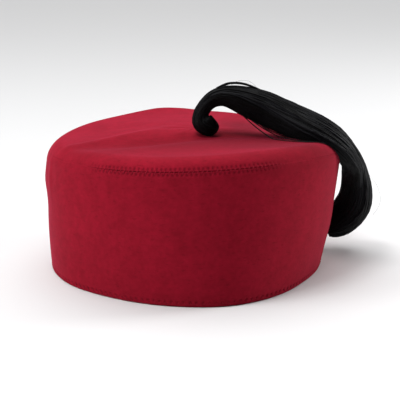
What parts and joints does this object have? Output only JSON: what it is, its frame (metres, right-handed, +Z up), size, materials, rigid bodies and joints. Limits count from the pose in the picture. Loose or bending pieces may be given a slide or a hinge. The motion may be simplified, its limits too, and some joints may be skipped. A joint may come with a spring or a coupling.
{
  "type": "fez hat",
  "caption": "Low soft felt fez, open below, with a domed top, stitched seam, turned hem and a long side tassel.",
  "frame": {"origin": "middle of the footprint, hat and tassel together, on the surface that the rim rests on", "axes": "+X towards the hanging tassel, -Y towards the front seen in the picture, +Z up"},
  "size_m": [0.2302, 0.1982, 0.126],
  "materials": {
    "felt": "soft matt crimson wool felt with sewn seams",
    "tassel_silk": "black silky thread bundle"
  },
  "bodies": {
    "root": {"crown_top": "felt", "side_band": "felt", "tassel": "tassel_silk"}
  },
  "joints": []
}
